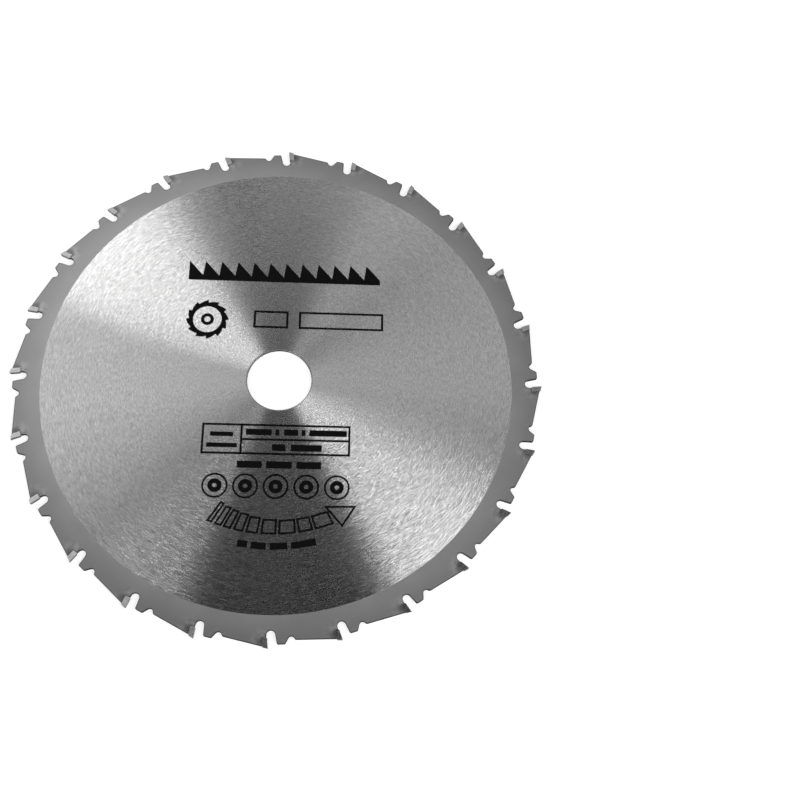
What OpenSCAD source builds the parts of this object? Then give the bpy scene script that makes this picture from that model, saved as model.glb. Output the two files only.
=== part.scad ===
// Carbide-tipped circular saw blade: a toothed steel plate, with a carbide tip brazed into
// a seat at the head of every tooth and a chip limiter ahead of every gullet.
// The bore's axis is Z, the plate's mid-plane is Z = 0 and the first cutting corner is on +X.
// Seen from +Z the blade cuts anticlockwise. Lengths are in millimetres.

/* [Blade] */
// Diameter over the cutting corners
blade_d = 210; // [160:1:260]
// Number of teeth, even so that the top bevels alternate
tooth_count = 24; // [12:2:30]
// Thickness of the steel plate
plate_t = 1.3; // [1:0.05:1.4]
// Diameter of the arbor bore
bore_d = 25.4; // [16:0.1:40]
// Deburring chamfer on both rims of the bore
bore_chamfer = 0.15; // [0.05:0.05:0.3]

/* [Carbide tip] */
// Width of the cut, which is the tip's width at its cutting edge
kerf = 1.8; // [1.7:0.05:2.4]
// Length of the tip along its front face
tip_h = 4.2; // [3.5:0.1:5]
// Thickness of the tip from its front face to its back face
tip_t = 1.9; // [1.5:0.1:2.4]
// Chamfer at the foot of the front face
tip_chamfer = 0.3; // [0.1:0.05:0.5]
// Angle by which the front face leans forward of the radius
hook_angle = 6; // [0:1:15]
// Angle by which the top face falls away behind the cutting edge
relief_angle = 15; // [10:1:18]
// Angle by which the top face falls from one side to the other
bevel_angle = 10; // [5:1:15]
// Angle by which each side face closes towards the blade's centre
radial_clearance = 1; // [0.5:0.25:1.5]
// Angle by which each side face closes towards the tip's back
tangential_clearance = 2.5; // [1:0.25:3]

/* [Braze] */
// Thickness of the filler between a tip and its seat
braze_t = 0.1; // [0.06:0.01:0.15]
// Height of the filler's bead over each face of the plate
braze_bead = 0.05; // [0.02:0.01:0.08]

/* [Gullet and chip limiter] */
// Depth of the gullet under the tip circle
gullet_depth = 6.75; // [6.4:0.05:9]
// Radius of the gullet's round floor
gullet_r = 1.6; // [1.2:0.1:1.9]
// Distance from the cutting corner forward to the limiter's rear corner
gullet_mouth = 3.35; // [2.9:0.05:4]
// Height by which the limiter stays under the tip circle
limiter_drop = 1.65; // [1:0.05:2]
// Width of the limiter's top between its corners
limiter_w = 2.9; // [2.4:0.05:4]
// Radius of the limiter's two corners
limiter_r = 0.6; // [0.3:0.05:0.8]
// Angle by which the limiter's front flank leans from the radius
limiter_flank = 30; // [20:1:35]

/* [Notch and tooth back] */
// Depth of the notch ahead of the limiter, under the tip circle
notch_depth = 4.4; // [4.1:0.05:5.5]
// Radius of the notch's round floor
notch_r = 1.25; // [1:0.05:1.5]
// Depth of the tooth back's low end under the tip circle
back_low_drop = 3.15; // [2.6:0.05:3.4]
// Depth of the tooth back's high end, behind the tip, under the tip circle
back_top_drop = 0.95; // [0.9:0.05:1.4]
// Radius of the corner where the tooth back turns into the notch
back_r = 1; // [0.5:0.1:1.2]

/* [Hidden] */
$fn = 96;
eps = 0.01;
tip_r = blade_d / 2;
pitch = 360 / tooth_count;

// How far each tooth's outline reaches past the seat and under the gullet's floor
overlap = 0.6;
// How far a round reaches over the lines that run into it, so that they cross and don't graze
bite = 0.001;
root_depth = gullet_depth + 2 * overlap;

function tip_name(i) = str("carbide_tip_", i < 10 ? "0" : "", i);

// Points of a tooth lie in its own frame: the cutting corner at [0, 0], +Y along the radius
// outwards and +X towards the tooth's back, against the cutting direction.
function unit(v) = v / norm(v);
function left_of(v) = [-v.y, v.x];
function spin(p, angle) = [p.x * cos(angle) - p.y * sin(angle), p.x * sin(angle) + p.y * cos(angle)];
function about_axis(p, angle) = spin(p + [0, tip_r], angle) - [0, tip_r];
function arc_angle(along) = along / tip_r * 180 / PI;

// Point where a line from p touches the circle at centre c, on the left as seen from c
function touch_point(p, c, r) = c + r * spin(unit(p - c), acos(r / norm(p - c)));

// Centre of the round of radius r in the corner p between points a and b
function corner_centre(a, p, b, r) =
    let (u = unit(a - p), v = unit(b - p))
    p + unit(u + v) * r / sin(acos(u * v) / 2);

// Foot of the perpendicular from point c to the line through p and q
function foot(c, p, q) = p + unit(q - p) * ((c - p) * unit(q - p));

// Gullet: its rear wall drops from the foot of the tip's chamfer
gullet_wall = spin([tip_chamfer, -tip_h - braze_t], hook_angle).x;
gullet_c = [gullet_wall - gullet_r, gullet_r - gullet_depth];

// Limiter, from a frame on the radius through its middle
limiter_turn = arc_angle(gullet_mouth + limiter_w / 2);
limiter_rear = about_axis([limiter_w / 2, -limiter_drop], limiter_turn);
limiter_front = about_axis([-limiter_w / 2, -limiter_drop], limiter_turn);
gullet_touch = touch_point(limiter_rear, gullet_c, gullet_r);

// Notch: its round floor runs out into the limiter's front flank
flank = spin([0, -1], limiter_turn - limiter_flank);
flank_left = -left_of(flank);
flank_run = (notch_depth - limiter_drop - notch_r * (1 - sin(limiter_flank))) / cos(limiter_flank);
notch_c = limiter_front + notch_r * flank_left + flank_run * flank;
flank_touch = notch_c - notch_r * flank_left;

// Back of the next tooth, a straight line from its low end by the notch to its seat
back_low = about_axis([-limiter_w / 2 - 2 * notch_r - back_r, -back_low_drop], limiter_turn);
back_top = about_axis([tip_t + braze_t, -back_top_drop], pitch);
back_way = unit(back_top - back_low);
back_out = -left_of(back_way);
notch_under = (notch_c - back_low) * back_out + back_r;
back_c = notch_c - notch_under * back_out + sqrt((notch_r + back_r) ^ 2 - notch_under ^ 2) * back_way;
back_touch = back_c + back_r * back_out;
notch_touch = notch_c + notch_r * unit(back_c - notch_c);

// Rounds of the limiter's corners
rear_c = corner_centre(gullet_touch, limiter_rear, limiter_front, limiter_r);
front_c = corner_centre(limiter_rear, limiter_front, flank_touch, limiter_r);

// Turns a tooth's frame to tooth i of the blade
module on_tooth(i) {
    rotate(i * pitch - 90) translate([0, tip_r]) children();
}

// Space of a tip and its filler: open at the front and the top
module seat_2d() {
    rotate(hook_angle)
        translate([-overlap, -tip_h - braze_t])
            square([overlap + tip_t + braze_t, 2 * tip_h]);
}

module round_at(centre, r) {
    translate(centre) circle(r + bite);
}

// Outline from one tooth's seat over the gullet, the limiter and the notch to the next seat
module tooth_2d() {
    seat_back = tip_t + braze_t + overlap;
    difference() {
        union() {
            polygon([
                [seat_back, -root_depth],
                [seat_back, -tip_h / 2],
                [gullet_wall, -tip_h / 2],
                [gullet_wall, gullet_c.y],
                gullet_c,
                gullet_touch,
                foot(rear_c, gullet_touch, limiter_rear),
                rear_c,
                foot(rear_c, limiter_rear, limiter_front),
                foot(front_c, limiter_rear, limiter_front),
                front_c,
                foot(front_c, limiter_front, flank_touch),
                flank_touch,
                notch_c,
                notch_touch,
                back_c,
                back_touch,
                back_top + overlap * back_way,
                about_axis([tip_t + braze_t - overlap, -root_depth], pitch)
            ]);
            round_at(rear_c, limiter_r);
            round_at(front_c, limiter_r);
            round_at(back_c, back_r);
        }
        round_at(gullet_c, gullet_r);
        round_at(notch_c, notch_r);
    }
}

module bore() {
    cylinder(d = bore_d, h = plate_t + 2 * eps, center = true);
    for (side = [0, 1])
        mirror([0, 0, side])
            translate([0, 0, plate_t / 2 - bore_chamfer])
                cylinder(
                    d1 = bore_d,
                    d2 = bore_d + 2 * (bore_chamfer + eps),
                    h = bore_chamfer + eps
                );
}

// Steel plate with its teeth, seats and bore
module blade_plate() {
    color("silver")
        difference() {
            linear_extrude(plate_t, center = true)
                difference() {
                    union() {
                        circle(tip_r - gullet_depth - overlap);
                        for (i = [1 : tooth_count]) on_tooth(i) tooth_2d();
                    }
                    for (i = [1 : tooth_count]) on_tooth(i) seat_2d();
                }
            bore();
        }
}

// Block that is cut away beyond one of the tip's faces, standing on Z = 0
module away() {
    translate([-tip_h, -2 * tip_h, 0]) cube([3 * tip_h, 3 * tip_h, tip_h]);
}

// Ground tip in the frame of its front face. Its top bevel is high at the upper side for
// side = 1 and at the lower side for side = -1.
module ground_tip(side) {
    difference() {
        linear_extrude(kerf, center = true)
            polygon([
                [0, 0],
                [0, tip_chamfer - tip_h],
                [tip_chamfer, -tip_h],
                [tip_t, -tip_h],
                [tip_t, 0]
            ]);
        for (face = [0, 1])
            mirror([0, 0, face])
                translate([0, 0, kerf / 2])
                    rotate([radial_clearance, tangential_clearance, 0])
                        away();
        translate([0, 0, side * kerf / 2])
            rotate([-side * bevel_angle, 0, -relief_angle - hook_angle])
                rotate([-90, 0, 0])
                    translate([0, tip_h / 2, 0])
                        away();
    }
}

// Carbide tip of tooth i
module carbide_tip(i) {
    color("dimgray") on_tooth(i) rotate(hook_angle) ground_tip(i % 2 == 0 ? 1 : -1);
}

// Filler between a tip's back and foot and the walls of its seat
module seam() {
    bead_top = spin([tip_t + braze_t, -back_top_drop], -hook_angle).y;
    linear_extrude(plate_t + 2 * braze_bead, center = true)
        polygon([
            [tip_t, bead_top],
            [tip_t + braze_t, bead_top],
            [tip_t + braze_t, -tip_h - braze_t],
            [tip_chamfer, -tip_h - braze_t],
            [tip_chamfer, -tip_h],
            [tip_t, -tip_h]
        ]);
}

// Braze filler of all the tips
module braze_seams() {
    color("khaki")
        for (i = [1 : tooth_count]) on_tooth(i) rotate(hook_angle) seam();
}

blade_plate();
braze_seams();
for (i = [1 : tooth_count])
    carbide_tip(i);
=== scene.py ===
import math
import bpy
import numpy as np
from mathutils import Matrix, Vector


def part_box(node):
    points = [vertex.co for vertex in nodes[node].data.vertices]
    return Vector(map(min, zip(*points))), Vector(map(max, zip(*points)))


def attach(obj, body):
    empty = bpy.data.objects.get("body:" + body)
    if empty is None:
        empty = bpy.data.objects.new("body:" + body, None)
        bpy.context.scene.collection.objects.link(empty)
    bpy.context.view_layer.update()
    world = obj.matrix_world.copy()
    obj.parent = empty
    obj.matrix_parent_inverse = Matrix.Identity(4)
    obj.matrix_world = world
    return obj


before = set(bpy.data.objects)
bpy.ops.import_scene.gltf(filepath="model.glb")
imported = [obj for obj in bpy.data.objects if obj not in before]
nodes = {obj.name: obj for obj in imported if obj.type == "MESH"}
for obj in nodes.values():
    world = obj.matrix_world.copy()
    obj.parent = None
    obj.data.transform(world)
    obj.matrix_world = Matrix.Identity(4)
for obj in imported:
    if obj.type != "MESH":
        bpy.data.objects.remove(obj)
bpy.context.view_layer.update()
mm = 0.001
fullTurn = 2 * math.pi
axisCount = 3
quadCorners = 4
polarMap = "polar"
print("frame loaded:", len(nodes), "nodes")

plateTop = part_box("blade_plate")[1].z
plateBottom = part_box("blade_plate")[0].z
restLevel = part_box("carbide_tip_01")[0].z
tipCount = sum(name.startswith("carbide_tip") for name in nodes)


# Puts a list of (vertices, quads) shells into one mesh object at the origin
def makePiece(name, shells, uv=None):
    starts = np.cumsum([0] + [len(verts) for verts, quads in shells[:-1]])
    verts = np.concatenate([verts for verts, quads in shells])
    quads = np.concatenate([shell[1] + start for shell, start in zip(shells, starts)])
    mesh = bpy.data.meshes.new(name)
    mesh.from_pydata(verts.tolist(), [], quads.tolist())
    if uv is not None:
        layer = mesh.uv_layers.new(name=polarMap)
        layer.data.foreach_set("uv", uv.astype(np.float32).ravel())
    mesh.validate()
    piece = bpy.data.objects.new(name, mesh)
    bpy.context.scene.collection.objects.link(piece)
    return piece


# Gives a new piece its finish and its body
def dressPiece(piece, material):
    piece.data.materials.append(material)
    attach(piece, "root")


# Quads of a grid of points, numbered row by row, with the last row or column joined to the first where asked
def gridQuads(rows, columns, closeRows, closeColumns):
    row = np.arange(rows if closeRows else rows - 1)[:, None]
    column = np.arange(columns if closeColumns else columns - 1)[None, :]
    nextRow = (row + 1) % rows
    nextColumn = (column + 1) % columns
    corners = [row * columns + column, nextRow * columns + column,
               nextRow * columns + nextColumn, row * columns + nextColumn]
    return np.stack(corners, -1).reshape(-1, quadCorners)


def addNode(tree, kind, **settings):
    node = tree.nodes.new(kind)
    for key, value in settings.items():
        setattr(node, key, value)
    return node


# Links another socket into a socket, or sets a plain value there
def feed(tree, value, target):
    if isinstance(value, bpy.types.NodeSocket):
        tree.links.new(value, target)
    else:
        target.default_value = value


# Adds a node, feeds its live inputs in their order and hands back its live output
def calculate(tree, kind, values, **settings):
    node = addNode(tree, kind, **settings)
    for socket, value in zip([s for s in node.inputs if s.enabled], values):
        feed(tree, value, socket)
    return next(s for s in node.outputs if s.enabled)


def mathNode(tree, operation, *values):
    return calculate(tree, "ShaderNodeMath", values, operation=operation)


def vectorNode(tree, operation, *values):
    return calculate(tree, "ShaderNodeVectorMath", values, operation=operation)


def mapRange(tree, value, span, result, style="LINEAR"):
    return calculate(tree, "ShaderNodeMapRange", (value, *span, *result), interpolation_type=style)


# Mask that goes from 0 to 1 as the value goes over the span
def maskOver(tree, value, span, style="LINEAR"):
    return mapRange(tree, value, span, (0.0, 1.0), style)


def mixColour(tree, factor, first, second):
    return calculate(tree, "ShaderNodeMix", (factor, first, second), data_type="RGBA")


def grey(value, warmth=0.0):
    return (value * (1 + warmth), value, value * (1 - warmth), 1.0)


def mixGrey(tree, factor, dark, light, warmth=0.0):
    return mixColour(tree, factor, grey(dark, warmth), grey(light, warmth))


def meanOf(tree, first, second):
    return mathNode(tree, "DIVIDE", mathNode(tree, "ADD", first, second), 2.0)


# The vector with its Z taken away
def levelVector(tree, vector):
    return vectorNode(tree, "MULTIPLY", vector, (1.0, 1.0, 0.0))


# Distance from the Z axis
def axisReach(tree, vector):
    return vectorNode(tree, "LENGTH", levelVector(tree, vector))


# Node group that takes Vector and some numbers and puts out numbers
def newGroup(name, inputs, outputs):
    group = bpy.data.node_groups.new(name, "ShaderNodeTree")
    group.interface.new_socket("Vector", in_out="INPUT", socket_type="NodeSocketVector")
    for label in inputs:
        group.interface.new_socket(label, in_out="INPUT", socket_type="NodeSocketFloat")
    for label in outputs:
        group.interface.new_socket(label, in_out="OUTPUT", socket_type="NodeSocketFloat")
    return group, addNode(group, "NodeGroupInput").outputs, addNode(group, "NodeGroupOutput").inputs


def placeGroup(tree, group, vector, **values):
    node = addNode(tree, "ShaderNodeGroup", node_tree=group)
    feed(tree, vector, node.inputs["Vector"])
    for key, value in values.items():
        node.inputs[key].default_value = value
    return node.outputs


# Noise stretched along circles round Z: its place is direction * turns, with radius * lines as its height
def makeStreakGroup(detail):
    group, source, sink = newGroup("grindingStreaks", ["Turns", "Lines"], ["Streak"])
    level = levelVector(group, source["Vector"])
    around = vectorNode(group, "SCALE", vectorNode(group, "NORMALIZE", level), source["Turns"])
    outward = addNode(group, "ShaderNodeCombineXYZ")
    reach = vectorNode(group, "LENGTH", level)
    feed(group, mathNode(group, "MULTIPLY", reach, source["Lines"]), outward.inputs["Z"])
    noise = addNode(group, "ShaderNodeTexNoise")
    noise.inputs["Scale"].default_value = 1.0
    noise.inputs["Detail"].default_value = detail
    feed(group, vectorNode(group, "ADD", around, outward.outputs["Vector"]), noise.inputs["Vector"])
    feed(group, noise.outputs["Fac"], sink["Streak"])
    return group


# Two noises, one of broad patches and one of fine grain, both 0 to 1
def makeMottleGroup(detail):
    group, source, sink = newGroup("mottle", ["Patches", "Grains"], ["Patch", "Grain"])
    for size, label in (("Patches", "Patch"), ("Grains", "Grain")):
        noise = addNode(group, "ShaderNodeTexNoise")
        noise.inputs["Detail"].default_value = detail
        feed(group, source["Vector"], noise.inputs["Vector"])
        feed(group, source[size], noise.inputs["Scale"])
        feed(group, noise.outputs["Fac"], sink[label])
    return group


# Mask of 1 at a place behind each cutting corner, falling to 0 with the distance from it:
# the distance is the length of (arc along the rim, step along the radius)
def makeSeatGroup(core):
    group, source, sink = newGroup("seatSpot", ["Radius", "Behind", "Spread"], ["Spot"])
    split = addNode(group, "ShaderNodeSeparateXYZ")
    feed(group, source["Vector"], split.inputs["Vector"])
    angle = mathNode(group, "ARCTAN2", split.outputs["Y"], split.outputs["X"])
    turned = mathNode(group, "ADD", angle, source["Behind"])
    pitches = mathNode(group, "MULTIPLY", turned, tipCount / fullTurn)
    pitchOff = mathNode(group, "SUBTRACT", pitches, mathNode(group, "ROUND", pitches))
    angleOff = mathNode(group, "MULTIPLY", pitchOff, fullTurn / tipCount)
    away = addNode(group, "ShaderNodeCombineXYZ")
    reach = axisReach(group, source["Vector"])
    feed(group, mathNode(group, "MULTIPLY", angleOff, source["Radius"]), away.inputs["X"])
    feed(group, mathNode(group, "SUBTRACT", reach, source["Radius"]), away.inputs["Y"])
    distance = vectorNode(group, "LENGTH", away.outputs["Vector"])
    share = mathNode(group, "DIVIDE", distance, source["Spread"])
    feed(group, maskOver(group, share, (1.0, core), "SMOOTHSTEP"), sink["Spot"])
    return group


# Mask of 1 where a face stands upright: it grows as the normal's height falls over the span
def makeWallGroup(span):
    group, source, sink = newGroup("wallMask", [], ["Wall"])
    split = addNode(group, "ShaderNodeSeparateXYZ")
    feed(group, source["Vector"], split.inputs["Vector"])
    height = mathNode(group, "ABSOLUTE", split.outputs["Z"])
    feed(group, maskOver(group, height, span), sink["Wall"])
    return group


# Mask of 1 along a sharp edge: it grows as the normal, rounded over the reach, turns from the face's own
def makeEdgeGroup(span, samples):
    group, source, sink = newGroup("edgeMask", ["Reach"], ["Edge"])
    rounded = addNode(group, "ShaderNodeBevel", samples=samples)
    feed(group, source["Reach"], rounded.inputs["Radius"])
    likeness = vectorNode(group, "DOT_PRODUCT", rounded.outputs["Normal"], source["Vector"])
    feed(group, maskOver(group, likeness, span), sink["Edge"])
    return group


groupLook = {
    "streakDetail": 2.0, "mottleDetail": 3.0, "spotCore": 0.15, "wallSpan": (0.65, 0.35),
    "edgeSpan": (0.985, 0.85), "edgeSamples": 8,
}
streakGroup = makeStreakGroup(groupLook["streakDetail"])
mottleGroup = makeMottleGroup(groupLook["mottleDetail"])
seatGroup = makeSeatGroup(groupLook["spotCore"])
wallGroup = makeWallGroup(groupLook["wallSpan"])
edgeGroup = makeEdgeGroup(groupLook["edgeSpan"], groupLook["edgeSamples"])
print("node groups made")


# Material with its tree, its shader's inputs and its coordinates
def newMaterial(name):
    material = bpy.data.materials.new(name)
    material.use_nodes = True
    tree = material.node_tree
    return material, tree, tree.nodes["Principled BSDF"].inputs, addNode(tree, "ShaderNodeTexCoord").outputs


# Fine relief from a height of 0 to 1
def bumpNormal(tree, shader, height, look):
    bump = addNode(tree, "ShaderNodeBump")
    bump.inputs["Strength"].default_value = look["bump"]
    bump.inputs["Distance"].default_value = look["bumpDepth"]
    feed(tree, height, bump.inputs["Height"])
    feed(tree, bump.outputs["Normal"], shader["Normal"])


groundLook = {
    "dark": 0.64, "light": 0.99, "rough": (0.285, 0.197), "anisotropy": 1.0, "span": (0.26, 0.74),
    "short": {"Turns": 40.0, "Lines": 2000.0},
    "glint": {"Turns": 24.0, "Lines": 2700.0},
    "long": {"Turns": 6.0, "Lines": 500.0}, "longMiddle": 0.5, "longShare": 0.12,
    "bump": 0.45, "bumpDepth": 0.07 * mm, "reliefSpan": (0.0, 93.0 * mm),
}


# Ground steel: tone follows short circular streaks over faint long ones,
# roughness and bump follow a second set, whose bump grows deeper outwards
def groundSteel(look):
    material, tree, shader, coordinates = newMaterial("groundSteel")
    place = coordinates["Object"]
    short = placeGroup(tree, streakGroup, place, **look["short"])["Streak"]
    glint = placeGroup(tree, streakGroup, place, **look["glint"])["Streak"]
    long = placeGroup(tree, streakGroup, place, **look["long"])["Streak"]
    swing = mathNode(tree, "SUBTRACT", long, look["longMiddle"])
    drift = mathNode(tree, "MULTIPLY", swing, look["longShare"])
    tone = maskOver(tree, mathNode(tree, "ADD", short, drift), look["span"])
    feed(tree, mixGrey(tree, tone, look["dark"], look["light"]), shader["Base Color"])
    feed(tree, mapRange(tree, glint, look["span"], look["rough"]), shader["Roughness"])
    shader["Metallic"].default_value = 1.0
    shader["Anisotropic"].default_value = look["anisotropy"]
    tangent = addNode(tree, "ShaderNodeTangent", direction_type="UV_MAP", uv_map=polarMap)
    feed(tree, tangent.outputs["Tangent"], shader["Tangent"])
    depth = maskOver(tree, axisReach(tree, place), look["reliefSpan"])
    bumpNormal(tree, shader, mathNode(tree, "MULTIPLY", glint, depth), look)
    return material


rimLook = {
    "dark": 0.41, "light": 0.465, "rough": (0.39, 0.45), "gloss": 0.1, "span": (0.35, 0.65),
    "patches": 70.0, "grains": 1800.0, "bump": 0.08, "bumpDepth": 0.03 * mm,
    "shade": 0.345, "shadeSpan": (93.0 * mm, 101.0 * mm),
    "stainDark": 0.32, "stainPale": 0.58, "stainPatches": 420.0, "stainSpan": (0.42, 0.58),
    "stainShare": 0.6, "stainAt": {"Radius": 101.5 * mm, "Behind": math.radians(1.2), "Spread": 5.5 * mm},
    "scorch": 0.16, "scorchShare": 0.8,
    "scorchAt": {"Radius": 102.4 * mm, "Behind": math.radians(1.5), "Spread": 2.6 * mm},
    # Painted shade: a dark line along the cut edges, and a dark dull colour on the upright cut walls
    "edgeShade": 0.05, "edgeShadeReach": 0.9 * mm, "cut": 0.03, "cutRough": 0.25,
}


# Blasted rim: even grey with a faint mottle and a darker outer part, heat stains at the seats with a scorch
# behind each tip, a dark line of painted shade along the cut edges and laser-cut walls dark with painted
# shade
def rimSteel(look):
    material, tree, shader, coordinates = newMaterial("rimSteel")
    place = coordinates["Object"]
    normal = coordinates["Normal"]
    fine = placeGroup(tree, mottleGroup, place, Patches=look["patches"], Grains=look["grains"])
    blotches = placeGroup(tree, mottleGroup, place, Patches=look["stainPatches"])["Patch"]
    heat = placeGroup(tree, seatGroup, place, **look["stainAt"])["Spot"]
    scorch = placeGroup(tree, seatGroup, place, **look["scorchAt"])["Spot"]
    wall = placeGroup(tree, wallGroup, normal)["Wall"]
    edge = placeGroup(tree, edgeGroup, normal, Reach=look["edgeShadeReach"])["Edge"]
    blasted = mixGrey(tree, maskOver(tree, fine["Patch"], look["span"]), look["dark"], look["light"])
    outer = maskOver(tree, axisReach(tree, place), look["shadeSpan"])
    shaded = mixColour(tree, outer, blasted, grey(look["shade"]))
    stain = mixGrey(tree, maskOver(tree, blotches, look["stainSpan"]), look["stainDark"], look["stainPale"])
    stained = mixColour(tree, mathNode(tree, "MULTIPLY", heat, look["stainShare"]), shaded, stain)
    scorchMask = mathNode(tree, "MULTIPLY", scorch, look["scorchShare"])
    scorched = mixColour(tree, scorchMask, stained, grey(look["scorch"]))
    # Painted shade: a dark line along the cut edges
    face = mixColour(tree, edge, scorched, grey(look["edgeShade"]))
    # Painted shade: the upright cut walls turn dark and dull
    feed(tree, mixColour(tree, wall, face, grey(look["cut"])), shader["Base Color"])
    rough = mapRange(tree, fine["Grain"], look["span"], look["rough"])
    wallRough = mathNode(tree, "MULTIPLY", wall, look["cutRough"])
    feed(tree, mathNode(tree, "ADD", rough, wallRough), shader["Roughness"])
    feed(tree, mathNode(tree, "SUBTRACT", 1.0, wall), shader["Metallic"])
    shader["Specular IOR Level"].default_value = look["gloss"]
    bumpNormal(tree, shader, fine["Grain"], look)
    return material


# The upright faces of the tips take a dark colour of painted shade
carbideLook = {
    "dark": 0.52, "light": 0.76, "wall": 0.05, "rough": (0.21, 0.28), "gloss": 0.2, "span": (0.35, 0.65),
    "patches": 900.0, "marks": {"Turns": 240.0, "Lines": 5000.0}, "bump": 0.10, "bumpDepth": 0.02 * mm,
}


# Ground carbide: side faces with fine wheel marks; front, top and back faces dark with painted shade
def groundCarbide(look):
    material, tree, shader, coordinates = newMaterial("groundCarbide")
    place = coordinates["Object"]
    patch = placeGroup(tree, mottleGroup, place, Patches=look["patches"])["Patch"]
    marks = placeGroup(tree, streakGroup, place, **look["marks"])["Streak"]
    wall = placeGroup(tree, wallGroup, coordinates["Normal"])["Wall"]
    tone = maskOver(tree, meanOf(tree, patch, marks), look["span"])
    side = mixGrey(tree, tone, look["dark"], look["light"])
    # Painted shade: the front, top and back faces turn dark
    feed(tree, mixColour(tree, wall, side, grey(look["wall"])), shader["Base Color"])
    feed(tree, mapRange(tree, marks, look["span"], look["rough"]), shader["Roughness"])
    feed(tree, mathNode(tree, "SUBTRACT", 1.0, wall), shader["Metallic"])
    shader["Specular IOR Level"].default_value = look["gloss"]
    bumpNormal(tree, shader, marks, look)
    return material


brazeLook = {
    "dark": 0.45, "light": 0.80, "warmth": 0.06, "rough": (0.22, 0.45), "span": (0.35, 0.65),
    "patches": 1500.0, "grains": 7000.0, "bump": 0.25, "bumpDepth": 0.05 * mm,
}


# Silver filler: pale and uneven, as it froze
def silverBraze(look):
    material, tree, shader, coordinates = newMaterial("silverBraze")
    place = coordinates["Object"]
    fine = placeGroup(tree, mottleGroup, place, Patches=look["patches"], Grains=look["grains"])
    tone = maskOver(tree, fine["Patch"], look["span"])
    feed(tree, mixGrey(tree, tone, look["dark"], look["light"], look["warmth"]), shader["Base Color"])
    feed(tree, mapRange(tree, fine["Grain"], look["span"], look["rough"]), shader["Roughness"])
    shader["Metallic"].default_value = 1.0
    bumpNormal(tree, shader, fine["Patch"], look)
    return material


inkLook = {
    "full": 0.001, "thin": 0.006, "rough": (0.45, 0.62), "gloss": 0.06, "span": (0.4, 0.75),
    "patches": 900.0, "grains": 9000.0, "marks": {"Turns": 60.0, "Lines": 3000.0},
    "bump": 0.10, "bumpDepth": 0.01 * mm,
}


# Printing ink: black, a little thinner along the streaks of the steel under it
def blackInk(look):
    material, tree, shader, coordinates = newMaterial("blackInk")
    place = coordinates["Object"]
    fine = placeGroup(tree, mottleGroup, place, Patches=look["patches"], Grains=look["grains"])
    marks = placeGroup(tree, streakGroup, place, **look["marks"])["Streak"]
    worn = maskOver(tree, meanOf(tree, fine["Grain"], marks), look["span"])
    feed(tree, mixGrey(tree, worn, look["full"], look["thin"]), shader["Base Color"])
    feed(tree, mapRange(tree, fine["Patch"], look["span"], look["rough"]), shader["Roughness"])
    shader["Specular IOR Level"].default_value = look["gloss"]
    bumpNormal(tree, shader, marks, look)
    return material


steelGround = groundSteel(groundLook)
steelRim = rimSteel(rimLook)
carbide = groundCarbide(carbideLook)
braze = silverBraze(brazeLook)
ink = blackInk(inkLook)
print("materials made")

# CAD nodes keep their shape and take their finish
finishes = {"blade_plate": steelRim, "braze_seams": braze}
for name, node in nodes.items():
    node.data.materials.clear()
    node.data.materials.append(finishes.get(name, carbide))
print("finishes on the CAD nodes")

# Ground zone of each side, a film on the plate from the bore's chamfer to the blasted rim
groundZone = {
    "inner": 13.1 * mm, "outer": 92.8 * mm, "proud": 0.01 * mm, "sunk": 0.05 * mm, "rings": 24, "steps": 288,
}


# Film ring: a flat closed profile of radius and height turned round Z,
# point = (radius cos angle, radius sin angle, height), with radius and turn as its map
def groundFace(name, level, side, zone):
    radius = np.linspace(zone["inner"], zone["outer"], zone["rings"])
    radii = np.concatenate([radius, radius[::-1]])
    low, high = sorted((level - side * zone["sunk"], level + side * zone["proud"]))
    angle = np.linspace(0, fullTurn, zone["steps"], endpoint=False)[:, None]
    heights = np.broadcast_to(np.repeat([low, high], zone["rings"]), (zone["steps"], len(radii)))
    grid = np.stack([radii * np.cos(angle), radii * np.sin(angle), heights], -1)
    widthShare = np.append(radii, radii[0]) / zone["outer"]
    turnShare = np.arange(zone["steps"] + 1) / zone["steps"]
    polar = np.stack(np.meshgrid(widthShare, turnShare), -1)
    uv = np.stack([polar[:-1, :-1], polar[1:, :-1], polar[1:, 1:], polar[:-1, 1:]], 2)
    shell = (grid.reshape(-1, axisCount), gridQuads(zone["steps"], len(radii), True, True))
    dressPiece(makePiece(name, [shell], uv), steelGround)


groundFace("ground_face_upper", plateTop, 1, groundZone)
groundFace("ground_face_lower", plateBottom, -1, groundZone)
print("ground faces made")

# Film of the print, which lies a little turned and shifted on the blade
inkFilm = {"thick": 0.02 * mm, "turn": math.radians(-0.1), "shift": (-0.6 * mm, 0.27 * mm)}
inkLow = plateTop
inkHigh = plateTop + groundZone["proud"] + inkFilm["thick"]
inkCos = math.cos(inkFilm["turn"])
inkSin = math.sin(inkFilm["turn"])
inkTurn = np.array([[inkCos, inkSin], [-inkSin, inkCos]])
inkSteps = {"bar": 25, "ring": 72, "arcBar": 25}
barEnds = {"power": 24, "trim": 0.02}


# Field of ink: ruled across from one edge to the other, which run the same way, with the film's thickness
def inkField(firstEdge, secondEdge, closed=False):
    first, second = (np.asarray(edge) * mm @ inkTurn + inkFilm["shift"] for edge in (firstEdge, secondEdge))
    count = len(first)
    low, high = (np.full((count, 1), level) for level in (inkLow, inkHigh))
    profile = [np.hstack(corner) for corner in ((first, high), (second, high), (second, low), (first, low))]
    quads = gridQuads(count, quadCorners, closed, True)
    if not closed:
        startCap = np.arange(quadCorners)
        endCap = startCap[::-1] + (count - 1) * quadCorners
        quads = np.concatenate([quads, [startCap, endCap]])
    along = first[1] - first[0]
    across = second[0] - first[0]
    leftward = along[0] * across[1] > along[1] * across[0]
    return np.stack(profile, 1).reshape(-1, axisCount), quads[:, ::-1] if leftward else quads


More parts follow.
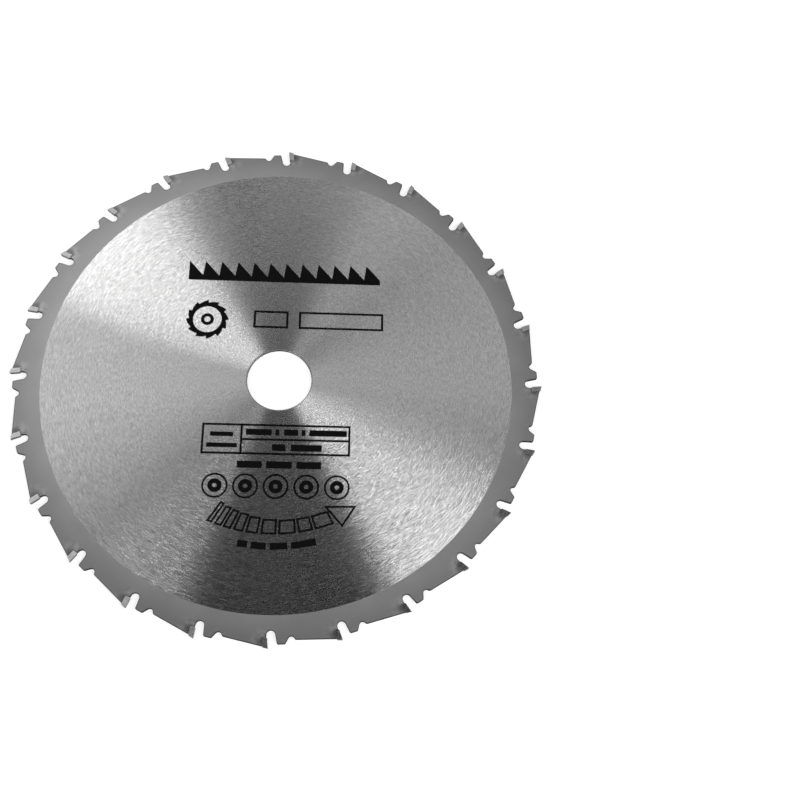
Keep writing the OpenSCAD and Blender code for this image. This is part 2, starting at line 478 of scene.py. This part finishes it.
# Bar with rounded ends: half height = height/2 * (1 - |2u - 1|^power)^(1/power), u = (1 - cos turn)/2
def inkBar(left, right, middle, height):
    turn = np.linspace(barEnds["trim"], math.pi - barEnds["trim"], inkSteps["bar"])
    u = (1 - np.cos(turn)) / 2
    half = height / 2 * (1 - np.abs(2 * u - 1) ** barEnds["power"]) ** (1 / barEnds["power"])
    x = left + (right - left) * u
    return inkField(np.stack([x, middle + half], -1), np.stack([x, middle - half], -1))


# Outline of a closed loop: each corner moves inwards along the mitre of its two sides by the line's width
def inkOutline(loop, width):
    outer = np.asarray(loop, float)
    side = np.roll(outer, -1, 0) - outer
    side /= np.linalg.norm(side, axis=1, keepdims=True)
    area = np.sum(outer[:, 0] * np.roll(outer[:, 1], -1) - np.roll(outer[:, 0], -1) * outer[:, 1])
    inward = np.sign(area) * np.stack([-side[:, 1], side[:, 0]], -1)
    before = np.roll(inward, 1, 0)
    mitre = (inward + before) / (1 + np.sum(inward * before, 1, keepdims=True))
    return inkField(outer, outer + mitre * width, True)


# Ring or toothed ring: outer radius plain or a function of the angle, plain inner radius
def inkRing(centre, outer, inner, count=inkSteps["ring"]):
    angle = np.linspace(0, fullTurn, count, endpoint=False)
    heading = np.stack([np.cos(angle), np.sin(angle)], -1)
    reach = outer(angle)[:, None] if callable(outer) else outer
    return inkField(np.asarray(centre) + heading * reach, np.asarray(centre) + heading * inner, True)


# Points of a circle round the bore: (radius cos angle, radius sin angle)
def onArc(radius, degrees):
    angle = np.radians(degrees)
    return np.stack([radius * np.cos(angle), radius * np.sin(angle)], -1)


# Curved bar: the part of a ring between two angles
def inkArcBar(radius, height, start, stop):
    degrees = np.linspace(start, stop, inkSteps["arcBar"])
    return inkField(onArc(radius + height / 2, degrees), onArc(radius - height / 2, degrees))


# Print, in millimetres from the bore's axis and degrees from +X
sawEdge = {"left": -38.0, "right": 41.0, "base": 42.6, "back": 2.2, "height": 8.6, "teeth": 12, "lean": 0.9}


# Row of saw teeth: the height falls along each tooth's back and rises at its leaning front
def sawEdgeField(look):
    pitch = (look["right"] - look["left"]) / look["teeth"]
    start = look["left"] + pitch * np.arange(look["teeth"])[:, None]
    x = (start + np.array([0.0, pitch - look["lean"]])).ravel()
    y = look["base"] + np.tile([look["height"], look["back"]], look["teeth"])
    return inkField(np.stack([x, y], -1), np.stack([x, np.full_like(x, look["base"])], -1))


toothedMark = {
    "centre": (-29.3, 25.1), "outer": 8.6, "drop": 1.3, "inner": 5.7, "teeth": 12, "count": 240,
    "hub": (2.6, 1.2),
}


# Outer radius of the toothed ring: it drops along each tooth and jumps back
def toothedReach(angle, look=toothedMark):
    return look["outer"] - look["drop"] * np.mod(angle * look["teeth"] / fullTurn, 1.0)


nameBars = {"spans": ((-10.8, 3.2), (7.4, 41.6)), "low": 22.0, "high": 29.6, "line": 0.9}
sizeTable = {
    "left": -28.4, "right": 29.2, "top": -19.0, "bottom": -31.5, "line": 0.85,
    "split": -13.1, "middle": -25.3,
    "smallBars": ((-25.2, -16.2, -23.4), (-26.4, -14.6, -27.9)), "smallHeight": 1.8,
    "topBars": ((-11.4, -1.4), (0.0, 1.5), (3.4, 8.8), (10.2, 11.7), (13.2, 27.8)),
    "topAt": -22.3, "topHeight": 2.5,
    "lowBars": ((-1.0, 4.1), (6.2, 18.2)), "lowAt": -28.5, "lowHeight": 2.7,
}
speedBars = {"spans": ((-14.2, -4.7), (-3.0, 6.9), (8.7, 18.2)), "middle": -35.5, "height": 2.8}
roundMarks = {
    "at": (-22.2, -10.6, 1.0, 12.7, 24.4), "level": -44.1,
    "outer": 4.95, "line": 0.75, "dot": 2.7, "hole": 0.9,
}
turnArrow = {
    "starts": (-112.1, -109.3, -106.2, -102.7, -98.6, -93.5, -87.4, -80.6, -74.9),
    "widths": (2.1, 2.7, 3.0, 3.6, 4.4, 5.5, 6.2, 5.2, 6.8),
    "slants": (-1.7, -1.6, -1.5, -1.0, -0.5, -0.3, -0.2, 0.2, 0.5),
    "inner": (54.0, 54.7, 55.2, 55.7, 56.4, 56.9, 57.2, 57.2, 57.2), "outer": 62.9,
    "head": ((19.5, -51.4), (32.1, -51.1), (26.8, -59.6)), "line": 0.78, "sidePoints": 4,
}
turnBar = {
    "radius": 67.4, "height": 2.6,
    "spans": ((-100.6, -97.4), (-96.2, -91.4), (-90.2, -84.6), (-83.4, -75.4)),
}


# Corners of an upright frame, anticlockwise
def frameLoop(left, right, bottom, top):
    return [(left, bottom), (right, bottom), (right, top), (left, top)]


# Block of the arrow's tail: two of its sides lie on circles, and the lines between their ends are slanted
def tailBlock(look, start, width, slant, inner):
    along = np.linspace(0, width, look["sidePoints"])
    near = onArc(inner, start - slant / 2 + along[::-1])
    far = onArc(look["outer"], start + slant / 2 + along)
    return inkOutline(np.concatenate([far, near]), look["line"])


# Arrow: the outlines of the tail's blocks and of the head's triangle
def arrowFields(look):
    blocks = zip(look["starts"], look["widths"], look["slants"], look["inner"])
    return [tailBlock(look, *block) for block in blocks] + [inkOutline(look["head"], look["line"])]


# Table: a frame, a line that splits it, a line across its right part, and bars in its cells
def tableFields(look):
    splitLeft = look["split"] - look["line"] / 2
    splitRight = look["split"] + look["line"] / 2
    fields = [
        inkOutline(frameLoop(look["left"], look["right"], look["bottom"], look["top"]), look["line"]),
        inkField([(splitLeft, look["top"]), (splitLeft, look["bottom"])],
                 [(splitRight, look["top"]), (splitRight, look["bottom"])]),
        inkBar(look["split"], look["right"], look["middle"], look["line"]),
    ]
    fields += [inkBar(left, right, at, look["smallHeight"]) for left, right, at in look["smallBars"]]
    fields += [inkBar(left, right, look["topAt"], look["topHeight"]) for left, right in look["topBars"]]
    fields += [inkBar(left, right, look["lowAt"], look["lowHeight"]) for left, right in look["lowBars"]]
    return fields


# Row of round marks: a thin ring round a dot with a hole
def roundMarkFields(look):
    fields = []
    for x in look["at"]:
        centre = (x, look["level"])
        fields.append(inkRing(centre, look["outer"], look["outer"] - look["line"]))
        fields.append(inkRing(centre, look["dot"], look["hole"]))
    return fields


printed = {
    "print_saw_edge": [sawEdgeField(sawEdge)],
    "print_toothed_mark": [
        inkRing(toothedMark["centre"], toothedReach, toothedMark["inner"], toothedMark["count"]),
        inkRing(toothedMark["centre"], *toothedMark["hub"])],
    "print_name_bars": [
        inkOutline(frameLoop(left, right, nameBars["low"], nameBars["high"]), nameBars["line"])
        for left, right in nameBars["spans"]],
    "print_table": tableFields(sizeTable),
    "print_speed_bars": [
        inkBar(left, right, speedBars["middle"], speedBars["height"]) for left, right in speedBars["spans"]],
    "print_round_marks": roundMarkFields(roundMarks),
    "print_arrow": arrowFields(turnArrow),
    "print_turn_bar": [
        inkArcBar(turnBar["radius"], turnBar["height"], start, stop) for start, stop in turnBar["spans"]],
}
for name, fields in printed.items():
    dressPiece(makePiece(name, fields), ink)
print("print made:", len(printed), "pieces")

floorLook = {
    "size": 6.0, "cells": 24, "below": 0.01 * mm, "tone": 0.42, "grain": 0.015, "patches": 40.0,
    "rough": 0.9, "gloss": 0.0, "lift": 0.70,
}


# Floor: a level square grid just under the tips, white to the camera and in mirrors but for the shadow
def makeFloor(look):
    step = np.linspace(-look["size"] / 2, look["size"] / 2, look["cells"])
    x, y = np.meshgrid(step, step)
    grid = np.stack([x, y, np.full_like(x, restLevel - look["below"])], -1).reshape(-1, axisCount)
    floor = makePiece("floor", [(grid, gridQuads(look["cells"], look["cells"], False, False)[:, ::-1])])
    material, tree, shader, coordinates = newMaterial("paleFloor")
    patch = placeGroup(tree, mottleGroup, coordinates["Object"], Patches=look["patches"])["Patch"]
    tone = mixGrey(tree, patch, look["tone"] - look["grain"], look["tone"] + look["grain"])
    feed(tree, tone, shader["Base Color"])
    shader["Roughness"].default_value = look["rough"]
    shader["Specular IOR Level"].default_value = look["gloss"]
    shader["Emission Color"].default_value = grey(1.0)
    path = addNode(tree, "ShaderNodeLightPath").outputs
    mirrored = mathNode(tree, "MAXIMUM", path["Is Glossy Ray"], path["Is Transmission Ray"])
    seen = mathNode(tree, "MAXIMUM", path["Is Camera Ray"], mirrored)
    feed(tree, mathNode(tree, "MULTIPLY", seen, look["lift"]), shader["Emission Strength"])
    floor.data.materials.append(material)


makeFloor(floorLook)
print("floor made")

# Soft panels round the blade: angles in degrees, sizes in metres
lampRange = 1.1
lamps = {
    "backLeftPanel": {"azimuth": 130.0, "elevation": 18.9, "roll": 18.7,
                      "width": 0.483, "height": 0.625, "brightness": 6.3},
    "leftPanel": {"azimuth": 140.5, "elevation": 46.7, "roll": 22.1,
                  "width": 0.732, "height": 1.030, "brightness": 0.8},
    "rightPanel": {"azimuth": -27.0, "elevation": 46.3, "roll": 53.2,
                   "width": 0.688, "height": 0.620, "brightness": 6.35},
    "frontLeftPanel": {"azimuth": 224.0, "elevation": 36.5, "roll": 26.6,
                       "width": 0.425, "height": 0.528, "brightness": 6.5},
    "backPanel": {"azimuth": 70.2, "elevation": 45.2, "roll": -55.6,
                  "width": 1.060, "height": 0.724, "brightness": 0.43},
}


# Puts an object where it looks from the place to the target, turned about its own line of sight
def aim(thing, place, target, roll):
    facing = (target - place).to_track_quat("-Z", "Y").to_matrix()
    facing = facing @ Matrix.Rotation(math.radians(roll), axisCount, "Z")
    thing.matrix_world = Matrix.Translation(place) @ facing.to_4x4()
    bpy.context.scene.collection.objects.link(thing)


# Panel that faces the bore: place = range * (cos climb cos turn, cos climb sin turn, sin climb)
def makeLamp(name, look):
    data = bpy.data.lights.new(name, "AREA")
    data.shape = "RECTANGLE"
    data.size = look["width"]
    data.size_y = look["height"]
    data.energy = look["brightness"] * math.pi * look["width"] * look["height"]
    lamp = bpy.data.objects.new(name, data)
    lamp.visible_camera = False
    turn = math.radians(look["azimuth"])
    climb = math.radians(look["elevation"])
    away = Vector((math.cos(climb) * math.cos(turn), math.cos(climb) * math.sin(turn), math.sin(climb)))
    aim(lamp, away * lampRange, Vector(), look["roll"])


for name, look in lamps.items():
    makeLamp(name, look)

worldLook = {"band": 0.66, "power": 4.0}


# Studio dome: dark overhead, pale at the horizon by (1 - height) to a power
def makeWorld(look):
    world = bpy.data.worlds.new("studio")
    world.use_nodes = True
    tree = world.node_tree
    split = addNode(tree, "ShaderNodeSeparateXYZ")
    feed(tree, addNode(tree, "ShaderNodeTexCoord").outputs["Generated"], split.inputs["Vector"])
    low = mathNode(tree, "SUBTRACT", 1.0, mathNode(tree, "MAXIMUM", split.outputs["Z"], 0.0))
    band = mathNode(tree, "MULTIPLY", mathNode(tree, "POWER", low, look["power"]), look["band"])
    background = tree.nodes["Background"].inputs
    background["Color"].default_value = grey(1.0)
    feed(tree, band, background["Strength"])
    bpy.context.scene.world = world


makeWorld(worldLook)
print("lights made")

cameraLook = {
    "eye": (21.782 * mm, -159.361 * mm, 408.087 * mm), "target": (47.992 * mm, -7.077 * mm, 0.0),
    "roll": 10.5365, "lens": 49.434, "sensor": 36.0, "near": 0.01, "far": 50.0,
}


def makeCamera(look):
    data = bpy.data.cameras.new("camera")
    data.lens = look["lens"]
    data.sensor_width = look["sensor"]
    data.clip_start = look["near"]
    data.clip_end = look["far"]
    camera = bpy.data.objects.new("camera", data)
    aim(camera, Vector(look["eye"]), Vector(look["target"]), look["roll"])
    bpy.context.scene.camera = camera


makeCamera(cameraLook)
bpy.context.scene.view_settings.view_transform = "Standard"
print("camera made")
